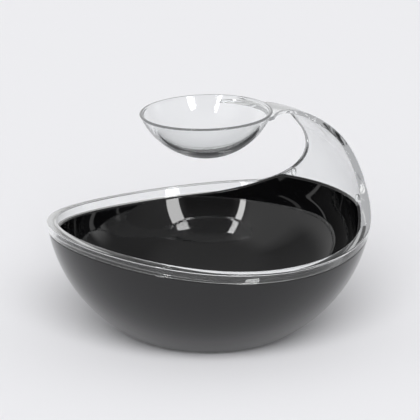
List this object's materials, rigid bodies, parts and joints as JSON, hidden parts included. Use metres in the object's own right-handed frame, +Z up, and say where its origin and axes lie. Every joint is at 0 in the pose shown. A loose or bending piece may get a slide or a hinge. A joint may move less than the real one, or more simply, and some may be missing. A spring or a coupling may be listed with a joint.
{
  "type": "chip and dip server",
  "caption": "Round glossy bowl with a nested liner and a clear wavy rim collar, whose broad arm curves up and over to hold a clear dip cup above the bowl.",
  "frame": {"origin": "on the bowl's axis, on the surface that the server stands on", "axes": "+X towards the arm, +Z up, mirror plane at Y = 0"},
  "size_m": [0.2995, 0.2944, 0.211],
  "materials": {
    "outer_bowl_black": "moulded, high gloss",
    "inner_bowl_black": "moulded, high gloss",
    "clear_acrylic": "clear acrylic, polished",
    "clear_acrylic_cup": "clear acrylic, polished",
    "clear_pad": "soft clear, satin"
  },
  "bodies": {
    "base": {"outer_bowl": "outer_bowl_black", "foot_pad_1": "clear_pad", "foot_pad_2": "clear_pad", "foot_pad_3": "clear_pad", "foot_pad_4": "clear_pad"},
    "liner": {"inner_bowl": "inner_bowl_black"},
    "crown": {"collar_arm": "clear_acrylic", "dip_cup": "clear_acrylic_cup"}
  },
  "joints": [
    {"name": "liner_lift", "type": "slide", "parent": "base", "child": "liner", "axis": [0, 0, 1], "range_m": [0, 0.11]},
    {"name": "crown_lift", "type": "slide", "parent": "liner", "child": "crown", "axis": [0, 0, 1], "range_m": [0, 0.06]}
  ]
}
